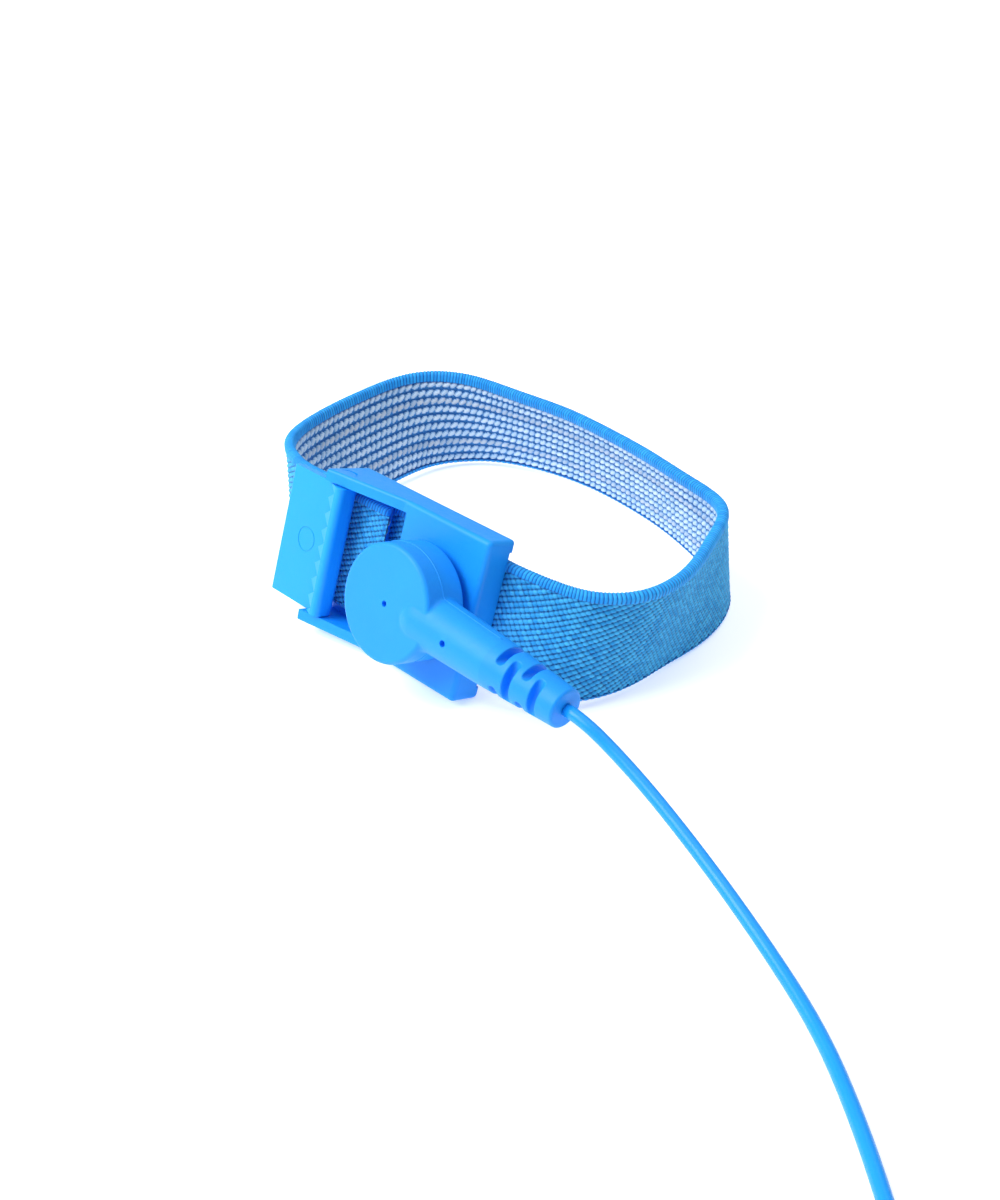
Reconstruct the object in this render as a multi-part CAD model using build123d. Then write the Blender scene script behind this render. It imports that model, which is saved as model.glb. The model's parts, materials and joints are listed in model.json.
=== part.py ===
from build123d import *
from math import cos, radians, sin
import os

# Wrist strap for static discharge: a knitted elastic loop standing on its edge, a clamp buckle
# with its lever folded open, a cord head on a press stud, a thin cord, and a plug with a spring clip.
# Millimetres, +Z up, origin under the middle of the strap on the surface it stands on.

# ---------------------------------------------------------------- driving dimensions
BAND_WIDTH = 20.0
BAND_THICKNESS = 1.6
SEWN_END = (8.0, 35.5)
SEWN_PRESSED = 0.02
FREE_END = 10.3
# The loop from the buckle's tail round to its hinge end, seen from above. Each station is the
# bottom edge's x and y, the top edge's x and y, and how far the bottom edge is off the surface.
BAND_STATIONS = [
    (31.0, -22.7, 35.7, -15.9, 2.2),
    (37.4, -12.9, 41.9, -9.1, 1.3),
    (38.1, 0.5, 41.5, 2.0, 0.6),
    (37.3, 13.8, 37.0, 13.2, 0.3),
    (32.0, 25.5, 31.5, 22.3, 0.5),
    (21.4, 31.8, 20.6, 26.0, 1.0),
    (10.6, 35.6, 9.5, 28.7, 1.2),
    (-1.2, 38.1, -2.5, 30.8, 1.2),
    (-13.2, 38.8, -14.2, 31.5, 1.3),
    (-25.3, 37.3, -26.0, 30.6, 1.1),
    (-35.3, 32.9, -37.2, 28.3, 0.9),
    (-41.5, 23.5, -45.9, 21.2, 1.0),
    (-41.9, 11.7, -47.6, 10.1, 0.8),
    (-41.0, -1.5, -45.7, -3.0, 0.4),
    (-38.6, -12.1, -41.4, -12.8, 0.2),
    (-31.8, -21.0, -31.2, -19.0, 1.0),
    (-21.4, -24.8, -19.2, -21.3, 2.4),
]

# The buckle is drawn lying on its back: x along it from the hinge end to the tail, y across it,
# z outwards, with z = 0 on its front face. BENCH then stands it up in the loop, leaning back.
BUCKLE_AT = (-12.05, -28.1, 14.45)
BUCKLE_LEAN = 18.5
BUCKLE_LENGTH = 35.0
BUCKLE_WIDTH = 27.0
CHEEK = 1.95
CHEEK_RISE = 3.5
CHEEK_RISE_LENGTH = 15.5
RAIL_BACK = -6.0
BODY_BACK = -5.0
FLOOR_TOP = -3.4
RECESS_END = 16.3
POCKET_START = 1.5
WINDOW_START = 8.6
INNER_HALF = BUCKLE_WIDTH / 2 - CHEEK

# The clamp lever turns on two stub pins in the cheeks. A ridge along it carries seven pointed teeth.
LEVER_AXIS = (2.3, 1.1)
LEVER_HALF_WIDTH = 11.3
BARREL_RADIUS = 2.0
FLAP_END = -9.4
FLAP_FACES = (0.8, 2.4)
RIDGE_SIDES = (0.6, 4.3)
RIDGE_TOP = 3.6
RIDGE_CORNER = 1.1
TOOTH_TOP = 2.7
TOOTH_PITCH = 2.9
TOOTH_COUNT = 7
TOOTH_DEPTH = 2.2
STUB_RADIUS = 1.2
RUNNING_GAP = 0.05

# Snap stud and the rivet that holds stud, body, strap end and contact plate together.
STUD_X = 24.7
STUD_RADIUS = 2.0
STUD_NECK_RADIUS = 1.7
STUD_TIP = 3.7
STUD_FLANGE_RADIUS = 5.0
STUD_FLANGE = 0.5
RIVET_RADIUS = 1.2
RIVET_HEAD_RADIUS = 2.6
PLATE_FACES = (-7.1, -6.6)

# Cord head: two shells that meet at a seam, a neck to the right, and a slotted strain relief.
HEAD_RADIUS = 9.55
HEAD_BACK = 1.2
HEAD_SEAM = 5.6
HEAD_FACE = 9.1
HEAD_TURN = -3.0
HEAD_WALL = 1.6
HEAD_BLEND = 1.0
NECK_Z = 5.2
NECK_START = 31.0
NECK_END = 46.5
NECK_RADII = (4.6, 4.05)
RELIEF_END = 60.5
RELIEF_RADII = (4.05, 3.15)
RELIEF_SLOTS = (48.4, 50.9, 53.4, 55.9)
RELIEF_SLOT_WIDTH = 1.4
RELIEF_CORE = 1.8
RELIEF_LIP = 0.22

# Cord, 1.8 m in all: a run from the strain relief, a wound coil, and a short run to the plug.
# The first run leaves square to the relief's end, and the last enters the plug square.
CORD_DIAMETER = 2.0
CORD_EXIT = (RELIEF_END + 0.15, RELIEF_END + 3.2)
CORD_ROUTE = [
    (56.9, -33.0, 11.5),
    (65.5, -33.7, 8.4),
    (76.6, -35.8, 4.8),
    (88.7, -39.5, 2.0),
    (101.7, -45.5, 1.0),
    (112.8, -53.6, 1.0),
    (123.9, -63.2, 1.0),
    (132.9, -71.8, 1.0),
    (139.1, -77.5, 1.0),
]
COIL_CENTRE = (127.3, -91.4)
COIL_RADII = (7.0, 17.0)
COIL_HEIGHT = 9.0
LEAD_ROUTE = [
    (139.1, -105.3, 1.0),
    (133.9, -109.8, 2.0),
]
LEAD_ENTRY = 6.0

# Plug and clip, drawn along +x from the cord, with z = 0 on the plug's axis.
PLUG_AT = (121.3, -114.9, 4.6)
PLUG_HEADING = 202.0
PLUG_RADIUS = 4.6
PLUG_LENGTH = 24.0
PIN_RADIUS = 1.7
PIN_END = 40.0
SOCKET_RADIUS = 2.0
PIVOT = (47.0, 0.9)
PIVOT_RADIUS = 0.8
JAW_END = 71.0
HANDLE = [(46, 4.1), (46, 4.9), (28, 10.6), (28, 9.8)]
SHEET = 0.7
LOWER_HALF = 3.6
UPPER_HALF = 2.7

BENCH = Plane(
    origin=BUCKLE_AT,
    x_dir=(1, 0, 0),
    z_dir=(0, -cos(radians(BUCKLE_LEAN)), sin(radians(BUCKLE_LEAN))),
)
HEAD = BENCH * Pos(STUD_X, 0, 0) * Rot(0, 0, HEAD_TURN) * Pos(-STUD_X, 0, 0)
PLUG = Pos(*PLUG_AT) * Rot(0, 0, PLUG_HEADING)


# ---------------------------------------------------------------- helpers
def block(x, y, z):
    """A box from its low and high x, y and z."""
    size = [high - low for low, high in (x, y, z)]
    middle = [(high + low) / 2 for low, high in (x, y, z)]
    return Pos(*middle) * Box(*size)


def rod(x, radius, z):
    """A round bar along z, centred on x and y = 0."""
    return Pos(x, 0, (z[0] + z[1]) / 2) * Cylinder(radius, z[1] - z[0])


def cross_rod(x, z, radius, y):
    """A round bar along y through x and z."""
    return Pos(x, (y[0] + y[1]) / 2, z) * Rot(90, 0, 0) * Cylinder(radius, y[1] - y[0])


def long_cone(x, radii, z=0.0):
    """A round bar along x, tapering between two radii."""
    length = x[1] - x[0]
    if radii[0] == radii[1]:
        bar = Cylinder(radii[0], length)
    else:
        bar = Cone(radii[0], radii[1], length)
    return Pos((x[0] + x[1]) / 2, 0, z) * Rot(0, 90, 0) * bar


def slab(points, y):
    """A plate with the given x, z outline between two y values."""
    outline = Plane.XZ * make_face(Polyline(*points, close=True))
    return Pos(0, y[1], 0) * extrude(outline, y[1] - y[0])


def edges_near(part, **limits):
    """Edges whose centres lie within the given low and high x, y or z."""
    def inside(edge):
        centre = edge.center()
        return all(low <= getattr(centre, axis.upper()) <= high for axis, (low, high) in limits.items())

    return [edge for edge in part.edges() if inside(edge)]


# ---------------------------------------------------------------- strap
def band_station(bottom_x, bottom_y, top_x, top_y, lift):
    """A station's middle and its direction up the strap's width."""
    over = ((top_x - bottom_x) ** 2 + (top_y - bottom_y) ** 2) ** 0.5
    rise = (BAND_WIDTH**2 - over**2) ** 0.5
    corner_drop = BAND_THICKNESS / 2 * over / BAND_WIDTH
    bottom = Vector(bottom_x, bottom_y, lift + corner_drop)
    top = Vector(top_x, top_y, bottom.Z + rise)
    return (bottom + top) * 0.5, (top - bottom).normalized()


def elastic_band():
    tail_z = (BODY_BACK + PLATE_FACES[1]) / 2
    hinge_z = FLOOR_TOP + BAND_THICKNESS / 2
    along = Vector(1, 0, 0)
    tail = BENCH.from_local_coords(Vector(SEWN_END[1], 0, tail_z))
    hinge = BENCH.from_local_coords(Vector(0, 0, hinge_z))
    stations = [(tail, BENCH.y_dir)]
    stations += [band_station(*row) for row in BAND_STATIONS]
    stations += [(hinge, BENCH.y_dir)]
    sections = []
    for i, (middle, up) in enumerate(stations):
        ends = i in (0, len(stations) - 1)
        tangent = along if ends else stations[i + 1][0] - stations[i - 1][0]
        tangent = (tangent - up * tangent.dot(up)).normalized()
        across = Plane(origin=middle, x_dir=up, z_dir=tangent)
        sections.append(across * Rectangle(BAND_WIDTH, BAND_THICKNESS))
    loop = loft(sections)
    half = BAND_WIDTH / 2
    pressed = (PLATE_FACES[1] + SEWN_PRESSED, BODY_BACK - SEWN_PRESSED)
    sewn_end = block(SEWN_END, (SEWN_PRESSED - half, half - SEWN_PRESSED), pressed)
    sewn_end -= rod(STUD_X, RIVET_RADIUS + 0.05, (-8, 0))
    free_end = block((0, FREE_END), (-half, half), (FLOOR_TOP, FLOOR_TOP + BAND_THICKNESS))
    free_end = fillet(edges_near(free_end, x=(FREE_END - 0.1, FREE_END + 0.1), z=(-3, -2)), 0.7)
    return loop + BENCH * sewn_end + BENCH * free_end


# ---------------------------------------------------------------- buckle
def buckle_frame():
    half = BUCKLE_WIDTH / 2
    profile = [
        (0, RAIL_BACK),
        (BUCKLE_LENGTH, RAIL_BACK),
        (BUCKLE_LENGTH, 0),
        (CHEEK_RISE_LENGTH, 0),
        (0, CHEEK_RISE),
    ]
    body = slab(profile, (-half, half))
    body = fillet(edges_near(body, z=(-6.1, -5.9), y=(-13.6, -13.4)), 0.9)
    body = fillet(edges_near(body, z=(-6.1, -5.9), y=(13.4, 13.6)), 0.5)
    body = fillet(edges_near(body, x=(34.9, 35.1), z=(-0.1, 0.1)), 0.9)
    body = fillet(edges_near(body, x=(34.9, 35.1), y=(13.4, 13.6)), 0.8)
    body -= block((-1, RECESS_END), (-INNER_HALF, INNER_HALF), (FLOOR_TOP, 9))
    body -= block((POCKET_START, 40), (-INNER_HALF, INNER_HALF), (-9, BODY_BACK))
    body -= block((WINDOW_START, RECESS_END), (-INNER_HALF, INNER_HALF), (-9, 0))
    for side in (-1, 1):
        hole = sorted((side * (INNER_HALF - 1), side * (INNER_HALF + 1.3)))
        body -= cross_rod(*LEVER_AXIS, STUB_RADIUS + RUNNING_GAP, hole)
        mark = sorted((side * (half - 0.3), side * (half + 1)))
        body -= cross_rod(*LEVER_AXIS, 1.7, mark) - cross_rod(LEVER_AXIS[0], LEVER_AXIS[1] + 0.5, 1.7, mark)
    body -= rod(STUD_X, RIVET_RADIUS + 0.05, (-8, 1))
    crests = [edge for edge in edges_near(body, y=(13.2, 13.6), z=(-0.1, 3.4)) if edge.length > 10]
    body = fillet(crests, 0.5)
    crests = [edge for edge in edges_near(body, y=(-13.6, -13.2), z=(-0.1, 3.4)) if edge.length > 10]
    body = fillet(crests, 0.5)
    lip = edges_near(body, x=(-0.1, 0.1), y=(-1, 1), z=(FLOOR_TOP - 0.1, FLOOR_TOP + 0.1))
    return fillet(lip, 0.8)


def clamp_lever():
    wide = (-LEVER_HALF_WIDTH, LEVER_HALF_WIDTH)
    axis_x, axis_z = LEVER_AXIS
    tip, far_side = RIDGE_SIDES
    root = tip + TOOTH_DEPTH
    flap = block((FLAP_END, axis_x), wide, FLAP_FACES)
    flap = fillet(edges_near(flap, x=(FLAP_END - 0.1, FLAP_END + 0.1)), 0.5)
    outline = [(tip, axis_z), (tip, TOOTH_TOP), (root, RIDGE_TOP), (far_side, RIDGE_TOP), (far_side, axis_z)]
    ridge = slab(outline, wide)
    crest = edges_near(ridge, x=(far_side - 0.1, far_side + 0.1), z=(RIDGE_TOP - 0.1, RIDGE_TOP + 0.1))
    ridge = fillet([edge for edge in crest if edge.length > 10], RIDGE_CORNER)
    bar = ridge + cross_rod(axis_x, axis_z, BARREL_RADIUS, wide)
    wide_end = -1.5 * TOOTH_DEPTH
    flare = 0.75 * TOOTH_PITCH
    notch = extrude(make_face(Polyline((0, 0), (wide_end, flare), (wide_end, -flare), close=True)), 3)
    for i in range(TOOTH_COUNT + 1):
        bar -= Pos(root, (i - TOOTH_COUNT / 2) * TOOTH_PITCH, FLAP_FACES[1]) * notch
    lever = flap + bar
    lever += cross_rod(*LEVER_AXIS, STUB_RADIUS, (-INNER_HALF - 1.1, INNER_HALF + 1.1))
    ejector = Pos(-2.9, 0, FLAP_FACES[1]) * (Cylinder(2.15, 0.16) - Cylinder(1.95, 0.3))
    return lever - ejector


def rivet_countersink():
    """The rivet's cone in the plate, flush with the plate's back."""
    back, front = PLATE_FACES
    cone = Cone(RIVET_HEAD_RADIUS, RIVET_RADIUS, front - back)
    return Pos(STUD_X, 0, (back + front) / 2) * cone


def contact_plate():
    plate = block((2.5, 32.5), (-10.6, 10.6), PLATE_FACES)
    plate = fillet(plate.edges().filter_by(Axis.Z), 2.0)
    return plate - rivet_countersink()


def snap_stud():
    stud = rod(STUD_X, STUD_FLANGE_RADIUS, (0, STUD_FLANGE))
    stud += rod(STUD_X, STUD_NECK_RADIUS, (STUD_FLANGE, 2.4))
    tip = rod(STUD_X, STUD_RADIUS, (2.0, STUD_TIP))
    tip = fillet(edges_near(tip, z=(STUD_TIP - 0.1, STUD_TIP + 0.1)), 0.6)
    return stud + tip - rod(STUD_X, RIVET_RADIUS, (-0.1, 1.6))


def stud_rivet():
    return rivet_countersink() + rod(STUD_X, RIVET_RADIUS, (PLATE_FACES[1], 1.6))


# ---------------------------------------------------------------- cord head
def head_blank():
    """The outside of both head shells together, with the neck."""
    disc = rod(STUD_X, HEAD_RADIUS, (HEAD_BACK, HEAD_FACE))
    disc = fillet(disc.edges().group_by(Axis.Z)[-1], 0.7)
    disc = fillet(disc.edges().group_by(Axis.Z)[0], 0.5)
    neck = long_cone((NECK_START, NECK_END), NECK_RADII, NECK_Z)
    shoulder = Pos(NECK_START, 0, NECK_Z) * Sphere(NECK_RADII[0])
    blank = disc + neck + shoulder
    joins = [edge for edge in blank.edges() if edge.geom_type not in (GeomType.CIRCLE, GeomType.LINE)]
    return fillet(joins, HEAD_BLEND)


def head_hollow():
    """The space inside the head and neck for the socket, its tag and the resistor."""
    top = HEAD_FACE - HEAD_WALL
    hollow = rod(STUD_X, HEAD_RADIUS - HEAD_WALL, (4.6, top))
    hollow += long_cone((STUD_X, 44), (2.0, 2.0), NECK_Z)
    return hollow + long_cone((44, NECK_END + 1), (1.4, 1.4), NECK_Z)


def head_half(z):
    room = block((0, 70), (-20, 20), z)
    return (head_blank() & room) - head_hollow()


def head_cover():
    gate = rod(STUD_X, 0.5, (HEAD_FACE - 0.8, HEAD_FACE + 1))
    gate += rod(38.6, 0.55, (HEAD_FACE - 0.5, HEAD_FACE + 1))
    return head_half((HEAD_SEAM, 12)) - gate


def head_base():
    return head_half((-2, HEAD_SEAM)) - rod(STUD_X, 4.8, (0, 4.7))


def snap_socket():
    cup = rod(STUD_X, 4.8, (1.6, 4.6))
    cup -= rod(STUD_X, STUD_RADIUS + RUNNING_GAP, (1, 4.1))
    return cup - rod(STUD_X, 2.75, (2.2, 2.8))


def socket_spring():
    ring = rod(STUD_X, 2.65, (2.25, 2.75)) - rod(STUD_X, STUD_RADIUS + 0.1, (2, 3))
    return ring - block((STUD_X - 3, STUD_X), (-0.4, 0.4), (2, 3))


def solder_tag():
    return block((STUD_X - 2, 31.6), (-1.3, 1.3), (4.6, 4.9))


def resistor_body():
    body = long_cone((35, 41.4), (1.0, 1.0), NECK_Z)
    for end in ((35, 36.4), (40, 41.4)):
        body += long_cone(end, (1.2, 1.2), NECK_Z)
    return body


def resistor_leads():
    front = long_cone((28.5, 35), (0.3, 0.3), NECK_Z)
    return Compound(children=[front, long_cone((41.4, 44.6), (0.3, 0.3), NECK_Z)])


def shrink_sleeve():
    return long_cone((34, 42.6), (1.55, 1.55), NECK_Z) - long_cone((33, 43), (1.25, 1.25), NECK_Z)


def cord_crimp():
    return long_cone((44.6, 48.6), (0.9, 0.9), NECK_Z)


def cord_inner_end():
    radius = CORD_DIAMETER / 2
    return long_cone((48.6, RELIEF_END), (radius, radius), NECK_Z)


def relief_slot(x, side):
    """A cutter for one slot, with a rounded bottom, before it is placed on the sleeve."""
    cutter = block((x, x + RELIEF_SLOT_WIDTH), sorted((side * RELIEF_CORE, side * 6)), (-6, 6))
    bottom = side * RELIEF_CORE
    rim = [edge for edge in edges_near(cutter, y=(bottom - 0.01, bottom + 0.01)) if edge.length > 5]
    return fillet(rim, 0.42 * RELIEF_SLOT_WIDTH)


def strain_relief():
    sleeve = long_cone((NECK_END, RELIEF_END), RELIEF_RADII)
    sleeve = fillet(edges_near(sleeve, x=(RELIEF_END - 0.1, RELIEF_END + 0.1)), 0.5)
    for i, x in enumerate(RELIEF_SLOTS):
        for side in (-1, 1):
            slot = relief_slot(x, side)
            sleeve -= Rot(90, 0, 0) * slot if i % 2 else slot
    lips = []
    for edge in sleeve.edges():
        spots = [edge @ share for share in (0, 0.5, 1)]
        reach = [(spot.Y**2 + spot.Z**2) ** 0.5 for spot in spots]
        inside = NECK_END + 0.5 < edge.center().X < RELIEF_END - 0.7
        if inside and max(reach) > 2.6 and abs(reach[0] - reach[1]) < 0.12:
            lips.append(edge)
    sleeve = fillet(lips, RELIEF_LIP)
    bore = CORD_DIAMETER / 2
    return Pos(0, 0, NECK_Z) * (sleeve - long_cone((NECK_END - 1, RELIEF_END + 1), (bore, bore)))


# ---------------------------------------------------------------- cord
def cord_tube(points):
    """Straight runs joined by arcs as large as the two runs beside each point allow."""
    radii = []
    for before, at, after in zip(points, points[1:], points[2:]):
        turn = (at - before).get_angle(after - at)
        shorter = min((at - before).length, (after - at).length)
        half_turn = radians(turn / 2)
        radii.append(0.45 * shorter * cos(half_turn) / sin(half_turn))
    path = FilletPolyline(*points, radius=radii)
    start = Plane(origin=points[0], z_dir=points[1] - points[0])
    tube = sweep(start * Circle(CORD_DIAMETER / 2), path=path)
    section = 3.14159 * CORD_DIAMETER**2 / 4
    print("radii", [round(r, 1) for r in radii], "length", round(path.length, 1))
    print("volume over section times length", round(tube.volume / (section * path.length), 4))
    return tube


def cord():
    leaving = [(HEAD * Pos(x, 0, NECK_Z)).position for x in CORD_EXIT]
    return cord_tube(leaving + [Vector(*point) for point in CORD_ROUTE])


def cord_plug_lead():
    entering = [(PLUG * Pos(x, 0, 0)).position for x in (-LEAD_ENTRY, 0)]
    return cord_tube([Vector(*point) for point in LEAD_ROUTE] + entering)


def cord_coil():
    inner, outer = COIL_RADII
    ring = Cylinder(outer, COIL_HEIGHT) - Cylinder(inner, COIL_HEIGHT)
    ring = fillet(ring.edges().filter_by(GeomType.CIRCLE), 2.5)
    return Pos(*COIL_CENTRE, COIL_HEIGHT / 2) * ring


# ---------------------------------------------------------------- plug and clip
def plug_housing():
    shell = long_cone((0, 7), (2.6, PLUG_RADIUS))
    shell += long_cone((7, PLUG_LENGTH), (PLUG_RADIUS, PLUG_RADIUS))
    root = PLUG_RADIUS - 0.5
    for x in (9, 12, 15, 18):
        groove = (x, x + 1.2)
        shell -= long_cone(groove, (8, 8)) - long_cone(groove, (root, root))
    return shell - long_cone((8, PLUG_LENGTH + 1), (PIN_RADIUS, PIN_RADIUS))


def plug_pin():
    pin = long_cone((8, PIN_END), (PIN_RADIUS, PIN_RADIUS))
    pin = fillet(edges_near(pin, x=(PIN_END - 0.1, PIN_END + 0.1)), 0.8)
    return pin + long_cone((PLUG_LENGTH, PLUG_LENGTH + 1.2), (2.6, 2.6))


def plug_spring():
    """Four spring leaves round the pin, as one slotted sleeve."""
    sleeve = long_cone((27, 38), (SOCKET_RADIUS, SOCKET_RADIUS))
    sleeve -= long_cone((26, 39), (PIN_RADIUS, PIN_RADIUS))
    for turn in (0, 90):
        sleeve -= Rot(turn, 0, 0) * block((28.5, 36.5), (-0.25, 0.25), (-3, 3))
    return sleeve


def jaw_notches(base, tip, first):
    """Triangular cutters along the jaw, from a base z to a tip z."""
    for i in range(10):
        x = first + 1.6 * i
        yield slab([(x, base), (x + 0.8, tip), (x + 1.6, base)], (-9, 9))


def clip_lower_jaw():
    side = [
        (44, -2.6),
        (48, -4.1),
        (66, -4.1),
        (JAW_END, -2.2),
        (JAW_END, -0.7),
        (53, -0.7),
        (49, 2.2),
        (45, 2.2),
    ]
    nose = JAW_END - 1.2
    trough = [(43, -1.9), (48.3, -3.4), (66, -3.4), (nose, -1.8), (nose, 4), (43, 4)]
    inside = LOWER_HALF - SHEET
    jaw = slab(side, (-LOWER_HALF, LOWER_HALF)) - slab(trough, (-inside, inside))
    for notch in jaw_notches(-0.6, -1.6, 55):
        jaw -= notch
    barrel = long_cone((PLUG_LENGTH + 2, 45), (2.8, 2.8)) - long_cone((20, 50), (2.05, 2.05))
    barrel -= block((20, 50), (-4, 4), (0.9, 4))
    return jaw + barrel - cross_rod(*PIVOT, PIVOT_RADIUS, (-5, 5))


def clip_upper_jaw():
    side = [
        (45.4, 0.6),
        (49, -0.2),
        (53, 0.2),
        (JAW_END, -0.4),
        (JAW_END, 0.8),
        (64, 3.0),
        (50, 4.6),
        (45.4, 4.9),
    ]
    nose = JAW_END - 1.2
    trough = [(44, -1), (nose, -1), (nose, 0.1), (63.8, 2.3), (49.8, 3.9), (44, 4.2)]
    inside = UPPER_HALF - SHEET
    jaw = slab(side, (-UPPER_HALF, UPPER_HALF)) - slab(trough, (-inside, inside))
    for notch in jaw_notches(-0.6, 0.6, 54.2):
        jaw -= notch
    handle = slab(HANDLE, (-UPPER_HALF, UPPER_HALF))
    return jaw + handle - cross_rod(*PIVOT, PIVOT_RADIUS + RUNNING_GAP, (-5, 5))


def clip_pivot_pin():
    pin = cross_rod(*PIVOT, PIVOT_RADIUS, (-LOWER_HALF - 0.5, LOWER_HALF + 0.5))
    for side in (-1, 1):
        head = sorted((side * LOWER_HALF, side * (LOWER_HALF + 0.6)))
        pin += cross_rod(*PIVOT, 1.3, head)
    return pin


def clip_spring():
    """The torsion spring's closed turns round the pivot pin."""
    return cross_rod(*PIVOT, 1.7, (-1.5, 1.5)) - cross_rod(*PIVOT, PIVOT_RADIUS + 0.1, (-2, 2))


def clip_upper_boot():
    run = [(43, 4.0), (43, 7.2), (25.5, 12.6), (25.5, 8.4)]
    boot = slab(run, (-4.2, 4.2))
    boot = fillet(boot.edges().filter_by(lambda edge: edge.length > 10), 1.0)
    return boot - slab(HANDLE, (-UPPER_HALF, UPPER_HALF))


def clip_lower_boot():
    sleeve = long_cone((PLUG_LENGTH + 2.4, 43.6), (4.3, 4.3))
    sleeve -= long_cone((20, 50), (2.8, 2.8))
    return sleeve - block((20, 50), (-6, 6), (0.9, 6))


# ---------------------------------------------------------------- write every node
NODES = {
    "elastic_band": elastic_band(),
    "buckle_frame": BENCH * buckle_frame(),
    "clamp_lever": BENCH * clamp_lever(),
    "contact_plate": BENCH * contact_plate(),
    "snap_stud": BENCH * snap_stud(),
    "stud_rivet": BENCH * stud_rivet(),
    "head_cover": HEAD * head_cover(),
    "head_base": HEAD * head_base(),
    "snap_socket": HEAD * snap_socket(),
    "socket_spring": HEAD * socket_spring(),
    "solder_tag": HEAD * solder_tag(),
    "resistor_body": HEAD * resistor_body(),
    "resistor_leads": HEAD * resistor_leads(),
    "shrink_sleeve": HEAD * shrink_sleeve(),
    "cord_crimp": HEAD * cord_crimp(),
    "cord_inner_end": HEAD * cord_inner_end(),
    "strain_relief": HEAD * strain_relief(),
    "cord": cord(),
    "cord_coil": cord_coil(),
    "cord_plug_lead": cord_plug_lead(),
    "plug_housing": PLUG * plug_housing(),
    "plug_pin": PLUG * plug_pin(),
    "plug_spring": PLUG * plug_spring(),
    "clip_lower_jaw": PLUG * clip_lower_jaw(),
    "clip_upper_jaw": PLUG * clip_upper_jaw(),
    "clip_pivot_pin": PLUG * clip_pivot_pin(),
    "clip_spring": PLUG * clip_spring(),
    "clip_upper_boot": PLUG * clip_upper_boot(),
    "clip_lower_boot": PLUG * clip_lower_boot(),
}

os.makedirs("parts", exist_ok=True)
for name, shape in NODES.items():
    export_step(shape, f"parts/{name}.step")
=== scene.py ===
"""Looks of the wrist strap: knitted band, satin mouldings, nickel snap and a soft cord."""

import json
import math

import bpy
import numpy as np
from mathutils import Matrix, Vector


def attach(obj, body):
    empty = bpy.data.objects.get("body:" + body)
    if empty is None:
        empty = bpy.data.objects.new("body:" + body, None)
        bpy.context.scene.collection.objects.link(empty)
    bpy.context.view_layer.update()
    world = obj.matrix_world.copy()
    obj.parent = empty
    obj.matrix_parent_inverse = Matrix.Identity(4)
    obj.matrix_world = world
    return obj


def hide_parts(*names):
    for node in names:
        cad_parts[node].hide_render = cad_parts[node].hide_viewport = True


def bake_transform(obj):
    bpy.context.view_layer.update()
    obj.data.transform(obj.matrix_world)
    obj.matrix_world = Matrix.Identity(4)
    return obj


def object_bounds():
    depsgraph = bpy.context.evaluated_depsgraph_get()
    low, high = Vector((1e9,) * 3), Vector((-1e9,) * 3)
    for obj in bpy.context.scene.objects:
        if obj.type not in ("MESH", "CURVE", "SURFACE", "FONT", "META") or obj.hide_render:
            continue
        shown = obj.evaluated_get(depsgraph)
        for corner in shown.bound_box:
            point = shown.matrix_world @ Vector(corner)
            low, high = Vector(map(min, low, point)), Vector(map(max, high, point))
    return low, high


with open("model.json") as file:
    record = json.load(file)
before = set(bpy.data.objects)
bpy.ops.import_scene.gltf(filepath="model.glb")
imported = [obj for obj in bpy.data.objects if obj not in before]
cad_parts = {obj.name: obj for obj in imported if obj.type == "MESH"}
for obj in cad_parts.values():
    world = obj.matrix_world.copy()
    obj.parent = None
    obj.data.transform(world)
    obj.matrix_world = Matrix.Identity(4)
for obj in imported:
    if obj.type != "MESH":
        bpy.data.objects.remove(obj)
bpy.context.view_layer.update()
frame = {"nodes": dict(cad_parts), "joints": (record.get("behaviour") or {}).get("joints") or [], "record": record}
MM = 0.001
joints = {joint["name"]: joint for joint in frame["joints"]}

# ---------------------------------------------------------------- the buckle's own axes
# The press stud stands on the buckle's front face. OUT points away from that face, UP runs across
# the buckle, and ALONG runs from its lever end to its tail.
STUD = Vector(joints["snap_swivel"]["pos_m"])
OUT = Vector(joints["snap_swivel"]["axis"]).normalized()
UP = Vector(joints["lever_hinge"]["axis"]).normalized()
ALONG = UP.cross(OUT).normalized()
STUD_X = 24.7
BUCKLE_LENGTH = 35.0
HEAD_TURN = math.radians(-3.0)
NECK_Z = 5.2
RELIEF_END = 60.5


def bench(x, y, z):
    """A point from millimetres along, across and out of the buckle."""
    return STUD + (ALONG * (x - STUD_X) + UP * y + OUT * z) * MM


def head_point(x, y, z):
    """The same for the cord head, which is turned a little on the stud."""
    turn = Matrix.Rotation(HEAD_TURN, 3, OUT)
    return STUD + turn @ ((ALONG * (x - STUD_X) + UP * y + OUT * z) * MM)


# ---------------------------------------------------------------- camera, floor and light
CAMERA_AT = Vector((0.16201, -0.15942, 0.13650))
CAMERA_FORWARD = Vector((-0.60545, 0.59927, -0.52375))
CAMERA_DOWN = Vector((0.37724, -0.36337, -0.85185))
LENS = 44.05
SKY_STRENGTH = 0.43
PAPER_GLOW = 0.42
LIGHTS_AIM = (0.02, -0.03, 0.01)
# Each light's name, place, size, power and colour.
LIGHTS = [
    ("key", (-0.35, -0.60, 0.75), 0.8, 11.8, (1.0, 1.0, 1.0)),
    ("top", (0.1, 0.25, 0.9), 0.7, 2.5, (0.97, 0.99, 1.0)),
]


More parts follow.
